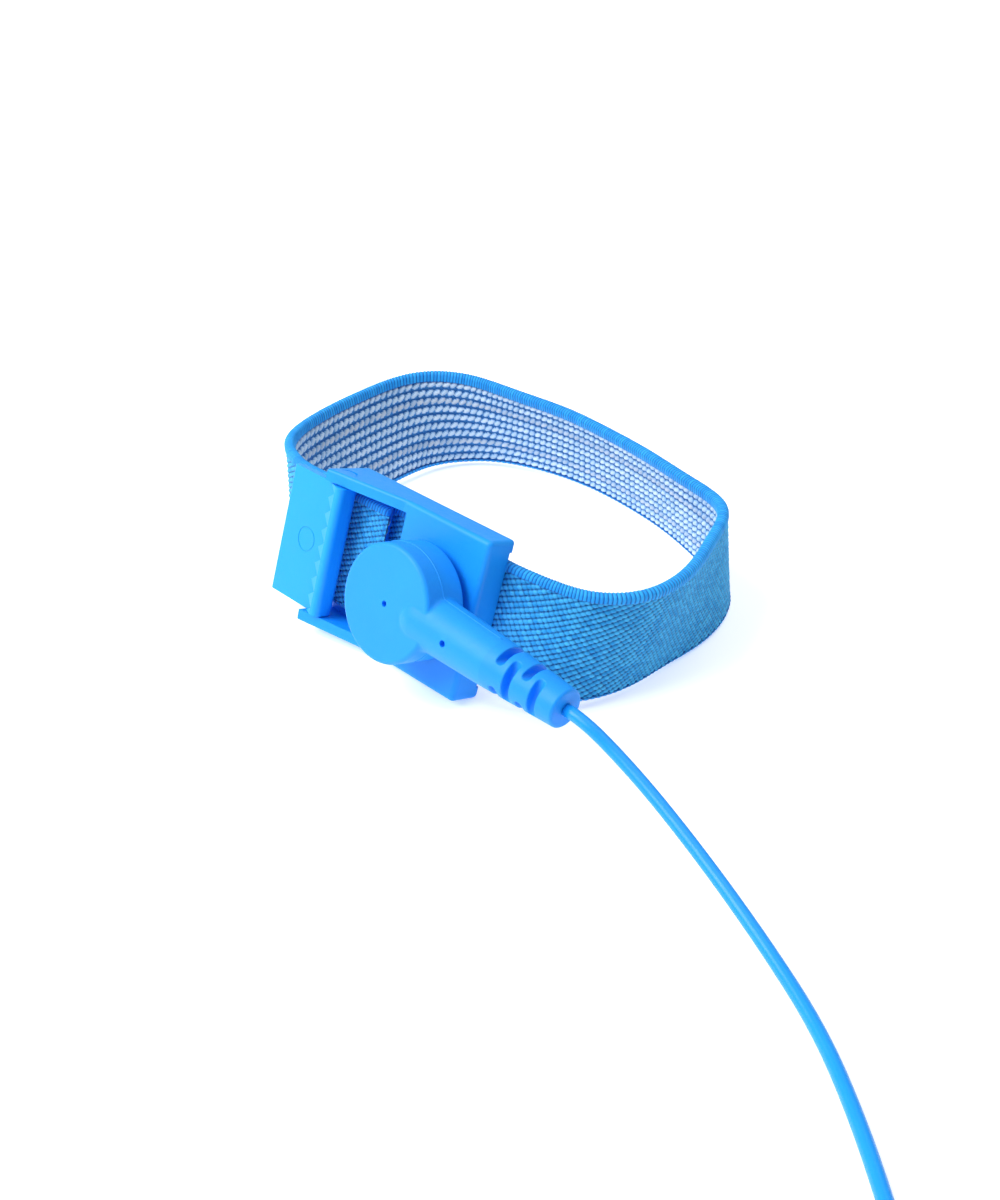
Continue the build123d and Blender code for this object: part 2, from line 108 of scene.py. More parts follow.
def make_camera():
    data = bpy.data.cameras.new("camera")
    data.lens = LENS
    data.sensor_width = 36.0
    data.clip_start = 0.01
    data.clip_end = 10.0
    camera = bpy.data.objects.new("camera", data)
    bpy.context.scene.collection.objects.link(camera)
    back = -CAMERA_FORWARD.normalized()
    right = (-CAMERA_DOWN).cross(back).normalized()
    up = back.cross(right)
    camera.matrix_world = Matrix.Translation(CAMERA_AT) @ Matrix((right, up, back)).transposed().to_4x4()
    bpy.context.scene.camera = camera


def make_light(name, place, size, power, colour):
    data = bpy.data.lights.new(name, "AREA")
    data.shape = "DISK"
    data.size = size
    data.energy = power
    data.color = colour
    light = bpy.data.objects.new(name, data)
    bpy.context.scene.collection.objects.link(light)
    light.location = place
    light.rotation_mode = "QUATERNION"
    light.rotation_quaternion = (Vector(LIGHTS_AIM) - Vector(place)).to_track_quat("-Z", "Y")


def make_studio():
    scene = bpy.context.scene
    scene.view_settings.view_transform = "Standard"
    world = bpy.data.worlds.new("studio")
    scene.world = world
    world.use_nodes = True
    sky = world.node_tree.nodes["Background"]
    sky.inputs["Color"].default_value = (1.0, 1.0, 1.0, 1.0)
    sky.inputs["Strength"].default_value = SKY_STRENGTH
    for light in LIGHTS:
        make_light(*light)


# ---------------------------------------------------------------- node materials
def new_material(name):
    material = bpy.data.materials.new(name)
    material.use_nodes = True
    tree = material.node_tree
    tree.nodes.clear()
    output = tree.nodes.new("ShaderNodeOutputMaterial")
    shader = tree.nodes.new("ShaderNodeBsdfPrincipled")
    tree.links.new(shader.outputs["BSDF"], output.inputs["Surface"])
    return material, tree, shader


def node(tree, kind, inputs=None, **settings):
    made = tree.nodes.new(kind)
    for key, value in settings.items():
        setattr(made, key, value)
    for key, value in (inputs or {}).items():
        if isinstance(value, bpy.types.NodeSocket):
            tree.links.new(value, made.inputs[key])
        else:
            made.inputs[key].default_value = value
    return made


def rgba(colour):
    return (*colour, 1.0)


def noise(tree, scale, detail=2.0, stretch=(1.0, 1.0, 1.0)):
    """Noise in the object's own coordinates, scale in features per metre."""
    where = node(tree, "ShaderNodeTexCoord").outputs["Object"]
    mapped = node(tree, "ShaderNodeMapping", {"Vector": where, "Scale": stretch})
    made = node(tree, "ShaderNodeTexNoise", {"Vector": mapped.outputs[0], "Scale": scale, "Detail": detail})
    return made.outputs["Fac"]


def ranged(tree, value, low, high):
    """A 0 to 1 value carried to low to high."""
    made = node(tree, "ShaderNodeMapRange", {"Value": value, "To Min": low, "To Max": high})
    return made.outputs["Result"]


def mixed(tree, factor, first, second):
    made = node(tree, "ShaderNodeMix", data_type="RGBA")
    for socket, value in ((made.inputs[0], factor), (made.inputs[6], first), (made.inputs[7], second)):
        if isinstance(value, bpy.types.NodeSocket):
            tree.links.new(value, socket)
        elif isinstance(value, (int, float)):
            socket.default_value = value
        else:
            socket.default_value = rgba(value)
    return made.outputs[2]


def bump(tree, height, distance, strength=1.0, below=None):
    made = node(tree, "ShaderNodeBump", {"Height": height, "Distance": distance, "Strength": strength})
    if below:
        tree.links.new(below, made.inputs["Normal"])
    return made.outputs["Normal"]


def moulded_plastic(name, colour, deep, rough=0.42, scatter=0.10):
    """Satin, slightly translucent plastic, with faint flow marks and a spark-eroded skin."""
    material, tree, shader = new_material(name)
    cloud = ranged(tree, noise(tree, 90.0, 3.0), 0.0, 0.5)
    tree.links.new(mixed(tree, cloud, colour, deep), shader.inputs["Base Color"])
    grain = ranged(tree, noise(tree, 1500.0, 2.0), rough - 0.05, rough + 0.07)
    tree.links.new(grain, shader.inputs["Roughness"])
    skin = bump(tree, noise(tree, 5200.0, 2.0), 0.00002)
    tree.links.new(bump(tree, noise(tree, 220.0, 2.0), 0.00008, below=skin), shader.inputs["Normal"])
    shader.inputs["Subsurface Weight"].default_value = scatter
    shader.inputs["Subsurface Radius"].default_value = (0.25, 0.6, 1.0)
    shader.inputs["Subsurface Scale"].default_value = 0.0014
    shader.inputs["IOR"].default_value = 1.46
    shader.inputs["Specular IOR Level"].default_value = 0.35
    return material


def metal(name, colour, rough, grain=(1.0, 1.0, 1.0)):
    """Nickel or steel with a fine directional grain and faint handling marks."""
    material, tree, shader = new_material(name)
    streak = noise(tree, 2600.0, 3.0, grain)
    tone = mixed(tree, ranged(tree, noise(tree, 260.0, 3.0), 0.0, 0.6), colour, [c * 0.82 for c in colour])
    tree.links.new(tone, shader.inputs["Base Color"])
    tree.links.new(ranged(tree, streak, rough - 0.07, rough + 0.12), shader.inputs["Roughness"])
    tree.links.new(bump(tree, streak, 0.00002), shader.inputs["Normal"])
    shader.inputs["Metallic"].default_value = 1.0
    return material


def attribute(tree, name):
    return node(tree, "ShaderNodeAttribute", attribute_name=name).outputs["Fac"]


def math_node(tree, operation, first, second):
    return node(tree, "ShaderNodeMath", {0: first, 1: second}, operation=operation).outputs[0]


def yarn_finish(tree, shader, colour, rough):
    """Sheen and fine fibres that every knitted surface has."""
    tree.links.new(colour, shader.inputs["Base Color"])
    shader.inputs["Roughness"].default_value = rough
    shader.inputs["Specular IOR Level"].default_value = 0.3
    shader.inputs["Sheen Weight"].default_value = 0.12
    shader.inputs["Sheen Roughness"].default_value = 0.4
    fibres = noise(tree, 3800.0, 3.0, (1.0, 1.0, 2.6))
    tree.links.new(bump(tree, fibres, 0.00009, 0.8), shader.inputs["Normal"])


def yarn(name, deep, shade, bright, light, rough=0.62):
    """Knitted yarn: painted shade dark in the gaps, bright on the crowns, each stitch a little different."""
    material, tree, shader = new_material(name)
    depth = attribute(tree, "depth")
    tone = attribute(tree, "tone")
    crown = mixed(tree, tone, bright, light)
    # Painted shade: the gap colours, faded in where the depth attribute is low between stitches and rows.
    low = mixed(tree, ranged(tree, noise(tree, 300.0), 0.0, 1.0), deep, shade)
    rise = node(tree, "ShaderNodeMapRange", {"Value": depth, "From Min": 0.22, "From Max": 0.86})
    rise.interpolation_type = "SMOOTHSTEP"
    colour = mixed(tree, rise.outputs["Result"], low, crown)
    yarn_finish(tree, shader, colour, rough)
    return material


def inner_yarn(name):
    """White and silvered grains over blue ground yarn, with painted shade darkening the ground between its
    threads.
    """
    material, tree, shader = new_material(name)
    depth = attribute(tree, "depth")
    tone = attribute(tree, "tone")
    # Painted shade: the ground turns navy where the depth attribute falls towards the gaps between threads.
    blue = node(tree, "ShaderNodeMapRange", {"Value": depth, "From Min": 0.0, "From Max": 0.35})
    ground = mixed(tree, blue.outputs["Result"], (0.004, 0.075, 0.30), (0.06, 0.30, 0.68))
    pale = mixed(tree, tone, (0.50, 0.66, 0.82), (0.70, 0.82, 0.93))
    grey = mixed(tree, tone, (0.42, 0.50, 0.60), (0.60, 0.62, 0.66))
    covered = mixed(tree, math_node(tree, "MULTIPLY", attribute(tree, "silver"), 0.8), pale, grey)
    crown = mixed(tree, ranged(tree, noise(tree, 900.0), 0.0, 0.35), covered, (0.25, 0.50, 0.86))
    colour = mixed(tree, attribute(tree, "white"), ground, crown)
    yarn_finish(tree, shader, colour, 0.6)
    return material


SKY_BLUE = (0.006, 0.315, 0.92)
SHADE_BLUE = (0.003, 0.235, 0.80)
NICKEL = (0.74, 0.72, 0.68)
TAN = (0.52, 0.36, 0.18)
DARK_TAN = (0.45, 0.30, 0.14)
# Each yarn's gaps and shadier gaps, both painted shade, its crowns and its lightest crowns.
OUTER_YARN_AND_GAP_SHADE = ((0.0, 0.035, 0.17), (0.001, 0.065, 0.27), (0.010, 0.31, 0.72), (0.05, 0.47, 0.88))
BINDING_YARN_AND_GAP_SHADE = ((0.0, 0.080, 0.36), (0.002, 0.13, 0.48), (0.006, 0.29, 0.80), (0.02, 0.39, 0.90))


def make_materials():
    made = {
        "buckle_plastic": moulded_plastic("buckle_plastic", SKY_BLUE, SHADE_BLUE),
        "lever_plastic": moulded_plastic("lever_plastic", (0.006, 0.340, 0.95), SKY_BLUE, 0.40, 0.22),
        "head_plastic": moulded_plastic("head_plastic", (0.008, 0.300, 0.93), (0.004, 0.240, 0.86), 0.48),
        "relief_plastic": moulded_plastic("relief_plastic", (0.006, 0.285, 0.90), (0.003, 0.230, 0.82), 0.48),
        "cord_sheath": moulded_plastic("cord_sheath", (0.008, 0.310, 0.88), (0.005, 0.265, 0.82), 0.30),
        "contact_steel": metal("contact_steel", (0.70, 0.71, 0.73), 0.30, (1.0, 0.04, 1.0)),
        "snap_nickel": metal("snap_nickel", NICKEL, 0.20),
        "spring_wire": metal("spring_wire", (0.66, 0.67, 0.69), 0.25),
        "tinned_tag": metal("tinned_tag", (0.72, 0.70, 0.66), 0.35),
        "resistor_coating": moulded_plastic("resistor_coating", TAN, DARK_TAN, 0.35, 0.05),
        "shrink_tube": moulded_plastic("shrink_tube", (0.015, 0.015, 0.017), (0.01, 0.01, 0.012), 0.5, 0.0),
        "plug_plastic": moulded_plastic("plug_plastic", (0.006, 0.300, 0.90), SHADE_BLUE, 0.40),
        "clip_steel": metal("clip_steel", (0.72, 0.73, 0.74), 0.28, (1.0, 1.0, 0.1)),
        "boot_vinyl": moulded_plastic("boot_vinyl", (0.006, 0.280, 0.86), (0.003, 0.225, 0.76), 0.36),
    }
    made["knit_outer"] = yarn("knit_outer", *OUTER_YARN_AND_GAP_SHADE)
    made["knit_binding"] = yarn("knit_binding", *BINDING_YARN_AND_GAP_SHADE)
    made["knit_inner"] = inner_yarn("knit_inner")
    made["knit_elastic"] = made["knit_outer"]
    return made


def dress_nodes(materials):
    """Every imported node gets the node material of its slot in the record."""
    for part in frame["record"]["subparts"]:
        shown = materials.get(part["material_slot"])
        if shown is None:
            continue
        mesh = frame["nodes"][part["node"]].data
        mesh.materials.clear()
        mesh.materials.append(shown)


# ---------------------------------------------------------------- mesh helpers
def add_mesh(name, points, faces, material, body, smooth=True):
    mesh = bpy.data.meshes.new(name)
    mesh.from_pydata([tuple(p) for p in points], [], faces)
    mesh.update()
    mesh.shade_smooth() if smooth else mesh.shade_flat()
    made = bpy.data.objects.new(name, mesh)
    bpy.context.scene.collection.objects.link(made)
    mesh.materials.append(material)
    if body:
        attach(made, body)
    return made


# ---------------------------------------------------------------- the band's line
# Stations of the knitted loop, in millimetres: the bottom edge's x and y, the top edge's x and y,
# and how far the bottom edge is off the floor.
BAND_WIDTH = 20.0
BAND_THICKNESS = 1.6
BAND_STATIONS = [
    (31.0, -22.7, 35.7, -15.9, 2.2),
    (37.4, -12.9, 41.9, -9.1, 1.3),
    (38.1, 0.5, 41.5, 2.0, 0.6),
    (37.3, 13.8, 37.0, 13.2, 0.3),
    (32.0, 25.5, 31.5, 22.3, 0.5),
    (21.4, 31.8, 20.6, 26.0, 1.0),
    (10.6, 35.6, 9.5, 28.7, 1.2),
    (-1.2, 38.1, -2.5, 30.8, 1.2),
    (-13.2, 38.8, -14.2, 31.5, 1.3),
    (-25.3, 37.3, -26.0, 30.6, 1.1),
    (-35.3, 32.9, -37.2, 28.3, 0.9),
    (-41.5, 23.5, -45.9, 21.2, 1.0),
    (-41.9, 11.7, -47.6, 10.1, 0.8),
    (-41.0, -1.5, -45.7, -3.0, 0.4),
    (-38.6, -12.1, -41.4, -12.8, 0.2),
    (-31.8, -21.0, -31.2, -19.0, 1.0),
    (-21.4, -24.8, -19.2, -21.3, 2.4),
]
TAIL_Z = -5.8
HINGE_Z = -2.6
SEWN_STRETCH = (8.0, 17.0, 26.0, 31.0, 34.0, 35.5)
FREE_STRETCH = (0.0, 2.0, 5.0, 8.0, 10.3)


def station(bottom_x, bottom_y, top_x, top_y, lift):
    """A station's middle, in metres, and its direction up the band's width."""
    over = math.hypot(top_x - bottom_x, top_y - bottom_y)
    rise = math.sqrt(BAND_WIDTH**2 - over**2)
    low = lift + BAND_THICKNESS / 2 * over / BAND_WIDTH
    bottom = Vector((bottom_x, bottom_y, low)) * MM
    top = Vector((top_x, top_y, low + rise)) * MM
    return (bottom + top) / 2, (top - bottom).normalized()


def through(points, parameters, at):
    """A natural cubic spline through rows of numbers, read at new parameters."""
    points = np.array(points, float)
    h = np.diff(parameters)
    n = len(points)
    matrix = np.eye(n)
    right = np.zeros_like(points)
    for i in range(1, n - 1):
        matrix[i, i - 1 : i + 2] = h[i - 1], 2 * (h[i - 1] + h[i]), h[i]
        right[i] = 6 * ((points[i + 1] - points[i]) / h[i] - (points[i] - points[i - 1]) / h[i - 1])
    second = np.linalg.solve(matrix, right)
    k = np.clip(np.searchsorted(parameters, at) - 1, 0, n - 2)
    left = ((parameters[k + 1] - at) / h[k])[:, None]
    rest = 1 - left
    width = (h[k] ** 2 / 6)[:, None]
    curve = left * points[k] + rest * points[k + 1]
    return curve + width * ((left**3 - left) * second[k] + (rest**3 - rest) * second[k + 1])


class BandLine:
    """The band's middle line with its directions up the width and outwards, read by distance along it."""

    def __init__(self):
        rows = [(bench(x, 0, TAIL_Z), UP) for x in SEWN_STRETCH]
        rows += [station(*row) for row in BAND_STATIONS]
        rows += [(bench(x, 0, HINGE_Z), UP) for x in FREE_STRETCH]
        middles = np.array([middle for middle, _ in rows])
        chord = np.concatenate([[0], np.cumsum(np.linalg.norm(np.diff(middles, axis=0), axis=1))])
        table = np.hstack([middles, np.array([up for _, up in rows])])
        fine = through(table, chord, np.linspace(0, chord[-1], 4000))
        steps = np.linalg.norm(np.diff(fine[:, :3], axis=0), axis=1)
        self.table = fine
        self.distance = np.concatenate([[0], np.cumsum(steps)])
        self.length = self.distance[-1]
        self.tail = (BUCKLE_LENGTH - SEWN_STRETCH[0]) * MM
        self.hinge = self.length - FREE_STRETCH[-1] * MM

    def read(self, distance):
        """Middles, up and outward directions at distances along the band, in metres."""
        values = [np.interp(distance, self.distance, column) for column in self.table.T]
        middle = np.stack(values[:3], axis=1)
        up = np.stack(values[3:], axis=1)
        ahead = [np.interp(distance + 0.0002, self.distance, c) for c in self.table.T[:3]]
        behind = [np.interp(distance - 0.0002, self.distance, c) for c in self.table.T[:3]]
        tangent = np.stack(ahead, axis=1) - np.stack(behind, axis=1)
        tangent /= np.linalg.norm(tangent, axis=1)[:, None]
        up -= tangent * (up * tangent).sum(1)[:, None]
        up /= np.linalg.norm(up, axis=1)[:, None]
        return middle, up, np.cross(tangent, up)

    def place(self, along, across, out):
        """Points at distances along the band, up its width and out of its middle, all in metres."""
        middle, up, outward = self.read(along)
        middle, up, outward = middle[:, None, :], up[:, None, :], outward[:, None, :]
        return middle + up * across[..., None] + outward * out[..., None]


# ---------------------------------------------------------------- the knit, in millimetres
OUTER_FACE = (-9.3, 8.9)
OUTER_ROW = 0.88
OUTER_STITCH = 0.80
OUTER_RELIEF = 0.46
OUTER_SUNK = 0.38
OUTER_SLOPE = math.radians(24.0)
STITCH_LEAN = math.radians(-54.0)
INNER_ROWS = 10
INNER_FACE = (-9.35, 8.35)
INNER_STITCH = 1.44
INNER_LEAN = math.radians(-34.0)
INNER_SUNK = 0.36
GRAIN_LONG = 0.88
GRAIN_SHORT = 0.45
GROUND_THREAD = 0.43
FUSED_END = 0.8
TOP_RIB = 0.62
BOTTOM_RIB = 1.05


def hashed(i, j, salt=0.0):
    """A repeatable 0 to 1 value for each pair of whole numbers."""
    value = np.sin(i * 12.9898 + j * 78.233 + salt * 37.719) * 43758.5453
    return value - np.floor(value)


def wander(s, v, salt):
    """Slow unevenness of the knit, in millimetres, between about -1 and 1."""
    quick = np.sin(s / 3.1 + 1.7 * np.sin(v / 4.3 + salt) + salt)
    slow = np.sin(s / 7.7 - v / 2.9 + 2.3 * salt)
    return 0.5 * quick + 0.5 * slow


def ridge(phase, flat):
    """A rounded ridge over each whole step of phase, 1 in the middle and 0 in the gap."""
    off = np.abs(phase - np.floor(phase) - 0.5) * 2
    return np.sqrt(np.clip(1 - off**flat, 0, 1))


def outer_knit(s, v):
    """Height in mm, depth 0 to 1, which also sets the painted shade in the gaps, and tone of the slanted stitches
    on the band's outer face.
    """
    s = s + 0.10 * wander(s, v, 1.0)
    v = v + 0.09 * wander(s, v, 2.0)
    across = (v * math.cos(OUTER_SLOPE) - s * math.sin(OUTER_SLOPE)) / OUTER_ROW
    row = np.floor(across)
    shift = 0.16 * (hashed(row, 0.0) - 0.5)
    along = (s * math.sin(-STITCH_LEAN) + v * math.cos(STITCH_LEAN)) / OUTER_STITCH + shift
    stitch = np.floor(along)
    tone = hashed(row, stitch)
    rows = ridge(across, 1.5)
    stitches = ridge(along + 0.10 * (tone - 0.5), 2.2)
    depth = rows**0.8 * (0.38 + 0.62 * stitches)
    height = OUTER_RELIEF * depth + 0.08 * (tone - 0.5)
    return height - OUTER_SUNK, depth, tone


def inner_knit(s, v):
    """Height, depth, tone and whiteness of the covered grains on the inner face; depth also sets the painted shade
    in the gaps.
    """
    s = s + 0.14 * wander(s, v, 3.0)
    v = v + 0.08 * wander(s, v, 4.0)
    low, high = INNER_FACE
    pitch = (high - low) / INNER_ROWS
    across = (v - low) / pitch
    row = np.clip(np.floor(across), 0, INNER_ROWS - 1)
    off = (across - row - 0.5) * pitch
    phase = s / INNER_STITCH + 0.37 * row + 0.10 * (hashed(row, 1.0) - 0.5)
    stitch = np.floor(phase)
    tone = hashed(row, stitch, 5.0)
    step = (phase - stitch - 0.5) * INNER_STITCH
    lean = INNER_LEAN + 0.25 * (tone - 0.5)
    long = step * np.cos(lean) + off * np.sin(lean)
    short = off * np.cos(lean) - step * np.sin(lean)
    reach = (np.abs(long) / (GRAIN_LONG + 0.08 * tone)) ** 2.2 + (np.abs(short) / GRAIN_SHORT) ** 2.0
    grain = np.sqrt(np.clip(1 - reach, 0, 1))
    strand = 0.5 + 0.5 * np.cos(2 * math.pi * (long * 0.8 + short * 3.2))
    threads = ridge(s / GROUND_THREAD + 0.5 * row, 2.0)
    ground = 0.34 * threads * np.clip(1 - np.abs(off + 0.25 * pitch) / (0.5 * pitch), 0.25, 1)
    height = np.maximum(0.50 * grain + 0.02 * strand * (grain > 0), 0.16 * ground)
    white = np.clip(grain * 3.0 - 0.25, 0, 1)
    depth = np.where(grain > 0.15, 0.45 + 0.55 * grain, 0.9 * ground)
    silver = ((row == 2) | (row == INNER_ROWS - 3)).astype(float)
    return height - INNER_SUNK, depth, tone, white, silver


def solid_sheet(name, line, along, across, out, material, extras, side):
    """A closed strip whose visible face is a grid of offsets and whose back is flat on the middle plane."""
    rows, columns = out.shape
    face = line.place(along, np.broadcast_to(across, out.shape), out).reshape(-1, 3)
    edges = np.broadcast_to(across[[0, -1]], (rows, 2))
    back = line.place(along, edges, np.full((rows, 2), side * 0.00005)).reshape(-1, 3)
    points = np.concatenate([face, back])
    base = rows * columns
    quads = grid_array(rows, columns, 0, side > 0)
    quads = np.concatenate([quads, grid_array(rows, 2, base, side < 0)])
    i = np.arange(rows - 1)
    walls = []
    for column, edge, flip in ((0, 0, side > 0), (columns - 1, 1, side < 0)):
        a = i * columns + column
        b = a + columns
        c = base + (i + 1) * 2 + edge
        d = base + i * 2 + edge
        wall = np.stack([a, b, c, d], axis=1)
        walls.append(wall[:, ::-1] if flip else wall)
    quads = np.concatenate([quads] + walls)
    faces = quads.tolist()
    first = list(range(columns)) + [base + 1, base]
    last = [base + (rows - 1) * 2, base + (rows - 1) * 2 + 1]
    last += list(range((rows - 1) * columns, rows * columns))[::-1]
    faces.append(first[::-1] if side < 0 else first)
    faces.append(last[::-1] if side < 0 else last)
    made = add_mesh(name, points.tolist(), faces, material, "strap")
    for key, values in extras.items():
        full = np.concatenate([values.reshape(-1), np.zeros(2 * rows)])
        layer = made.data.attributes.new(key, "FLOAT", "POINT")
        layer.data.foreach_set("value", full.astype(np.float32))
    return made


def grid_array(rows, columns, offset, flip):
    """Quads of a grid as an array, turned over if asked."""
    i, j = np.meshgrid(np.arange(rows - 1), np.arange(columns - 1), indexing="ij")
    a = (offset + i * columns + j).reshape(-1)
    quads = np.stack([a, a + columns, a + columns + 1, a + 1], axis=1)
    return quads[:, ::-1] if flip else quads


def end_rounding(along, line):
    """Thins the strip to a fused edge over its last part, 1 elsewhere."""
    left = np.clip((line.length - along) / (FUSED_END * MM), 0, 1)
    return 0.15 + 0.85 * np.sqrt(1 - (1 - left) ** 2)


def make_faces(line, materials):
    """The outer face in two strips and the inner face, all closed."""
    half = BAND_THICKNESS / 2
    across = np.linspace(*OUTER_FACE, 118)
    middle = line.tail + 0.48 * (line.hinge - line.tail)
    for name, start, end in (("strap_outer_front", 0.0, middle), ("strap_outer_rear", middle, line.length)):
        along = np.linspace(start, end, int((end - start) / 0.00021))
        s, v = np.meshgrid(along / MM, across, indexing="ij")
        height, depth, tone = outer_knit(s, v)
        thin = end_rounding(along, line)[:, None]
        out = (half + height) * thin * MM
        # Depth also sets the painted shade in the knit's gaps.
        extras = {"depth": depth, "tone": tone}
        solid_sheet(name, line, along, across * MM, out, materials["knit_outer"], extras, 1)
    across = np.linspace(*INNER_FACE, 84)
    along = np.linspace(0, line.length, int(line.length / 0.00026))
    s, v = np.meshgrid(along / MM, across, indexing="ij")
    height, depth, tone, white, silver = inner_knit(s, v)
    thin = end_rounding(along, line)[:, None]
    out = -(half + height) * thin * MM
    # Depth also sets the painted shade between the ground threads.
    extras = {"depth": depth, "tone": tone, "white": white, "silver": silver}
    solid_sheet("strap_inner", line, along, across * MM, out, materials["knit_inner"], extras, -1)


def make_binding(line, materials, name, edge, legs, half, pitch, raised, step):
    """The rolled, oversewn edge of the band: legs down its outer and inner faces joined by a round top.

    Half is the roll's half thickness, raised how far a rib stands out, and step the length of one row
    of points along the band, all in millimetres.
    """
    sign = 1 if edge > 0 else -1
    outer_leg, inner_leg = legs
    angles = np.linspace(math.pi, 0, 9)
    shoulder = abs(edge) - 0.75 * half
    profile = [(-half + 0.16, abs(edge) - inner_leg, 0.0), (-half, abs(edge) - inner_leg + 0.22, 1.0)]
    profile.append((-half, (shoulder + abs(edge) - inner_leg) / 2, 1.0))
    profile += [(half * math.cos(a), shoulder + 0.75 * half * math.sin(a), 1.0) for a in angles]
    profile.append((half, (shoulder + abs(edge) - outer_leg) / 2, 1.0))
    profile += [(half, abs(edge) - outer_leg + 0.22, 1.0), (half - 0.16, abs(edge) - outer_leg, 0.0)]
    profile += [(0.25, abs(edge) - outer_leg, 0.0), (-0.25, abs(edge) - inner_leg, 0.0)]
    profile = np.array(profile)
    count = len(profile)
    middle = np.array([0.0, shoulder - 0.3])
    away = profile[:, :2] - middle
    away /= np.linalg.norm(away, axis=1)[:, None]
    arc = np.concatenate([[0], np.cumsum(np.linalg.norm(np.diff(profile[:, :2], axis=0), axis=1))])
    along = np.linspace(0, line.length, int(line.length / (step * MM)))
    s = along[:, None] / MM
    uneven = 0.12 * wander(s, arc[None, :], 6.0)
    phase = (s + 0.12 * arc[None, :] + uneven) / pitch
    rib = ridge(phase, 1.3)
    tone = hashed(np.floor(phase), 0.0, 7.0)
    lift = (raised * (rib - 0.6) + 0.03 * (tone - 0.5)) * profile[None, :, 2]
    thin = end_rounding(along, line)[:, None]
    out = (profile[None, :, 0] + away[None, :, 0] * lift) * thin * MM
    across = sign * (profile[None, :, 1] + away[None, :, 1] * lift) * MM
    points = line.place(along, across, out).reshape(-1, 3)
    i, j = np.meshgrid(np.arange(len(along) - 1), np.arange(count), indexing="ij")
    k = (j + 1) % count
    here, ahead = i * count, (i + 1) * count
    quads = np.stack([here + j, ahead + j, ahead + k, here + k], axis=-1).reshape(-1, 4)
    ends = [list(range(count)), list(range((len(along) - 1) * count, len(along) * count))[::-1]]
    faces = quads[:, ::-1].tolist() + [end[::-1] for end in ends] if sign > 0 else quads.tolist() + ends
    made = add_mesh(name, points.tolist(), faces, materials["knit_binding"], "strap")
    # Depth paints shade between the ribs and at the tucked ends of the legs.
    for key, values in (("depth", rib * profile[None, :, 2]), ("tone", tone)):
        layer = made.data.attributes.new(key, "FLOAT", "POINT")
        full = np.broadcast_to(values, (len(along), count)).reshape(-1)
        layer.data.foreach_set("value", full.astype(np.float32))


def make_band(materials):
    line = BandLine()
    make_faces(line, materials)
    make_binding(line, materials, "strap_binding_top", 10.05, (1.5, 2.0), 0.92, TOP_RIB, 0.20, 0.09)
    make_binding(line, materials, "strap_binding_bottom", -10.0, (0.9, 0.9), 0.86, BOTTOM_RIB, 0.16, 0.17)
    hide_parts("elastic_band")


# ---------------------------------------------------------------- the cord head's seam
HEAD_RADIUS = 9.55
HEAD_SEAM = 5.6
NECK_HALF = (4.58, 4.02)
NECK_SPAN = (31.0, 46.5)
BLEND = 1.0


def neck_half(x):
    share = (x - NECK_SPAN[0]) / (NECK_SPAN[1] - NECK_SPAN[0])
    return NECK_HALF[0] + (NECK_HALF[1] - NECK_HALF[0]) * share


def make_head_seam(materials):
    """The fine flash line where the two shells of the head meet, round the head and along the neck."""
    centre_y = neck_half(33.5) + BLEND
    centre_x = STUD_X + math.sqrt((HEAD_RADIUS + BLEND) ** 2 - centre_y**2)
    reach = math.atan2(centre_y, centre_x - STUD_X)
    upper = [(x, neck_half(x)) for x in np.linspace(46.2, centre_x, 16)]
    for a in np.linspace(-math.pi / 2, reach - math.pi, 7)[1:]:
        upper.append((centre_x + BLEND * math.cos(a), centre_y + BLEND * math.sin(a)))
    round_head = [reach + (2 * math.pi - 2 * reach) * k / 120 for k in range(1, 120)]
    ring = [(STUD_X + HEAD_RADIUS * math.cos(a), HEAD_RADIUS * math.sin(a)) for a in round_head]
    lower = [(x, -y) for x, y in upper[::-1]]
    line = np.array([head_point(x, y, HEAD_SEAM) for x, y in upper + ring + lower])
    seam = tube("head_seam", line, 0.00012, materials["head_plastic"], "snap_head", sides=8)


# ---------------------------------------------------------------- cord
# The route that the cord's solids follow, in metres: points of one smooth line.
CORD_DIAMETER = 0.002
CORD_START = RELIEF_END + 0.15
CORD_ROUTE = [
    (0.0569, -0.0330, 0.0115),
    (0.0655, -0.0337, 0.0084),
    (0.0766, -0.0358, 0.0048),
    (0.0887, -0.0395, 0.0020),
    (0.1017, -0.0455, 0.0010),
    (0.1128, -0.0536, 0.0010),
    (0.1239, -0.0632, 0.0010),
    (0.1329, -0.0718, 0.0010),
    (0.1391, -0.0775, 0.0010),
]
LEAD_ROUTE = [
    (0.1391, -0.1053, 0.0010),
    (0.1339, -0.1098, 0.0020),
]
PLUG_AT = Vector((0.1213, -0.1149, 0.0046))
PLUG_HEADING = math.radians(202.0)
COIL_CENTRE = Vector((0.1273, -0.0914, 0.0))
COIL_START = math.radians(49.7)
TURN_POINTS = 16
LAYERS = [
    (1.05, (16.0, 14.0, 12.0, 10.0, 8.0)),
    (2.85, (9.0, 11.0, 13.0, 15.0)),
    (4.62, (16.0, 14.0, 12.0, 10.0, 8.0)),
    (6.38, (9.0, 11.0, 13.0, 15.0)),
    (8.1, (16.0, 14.0)),
]


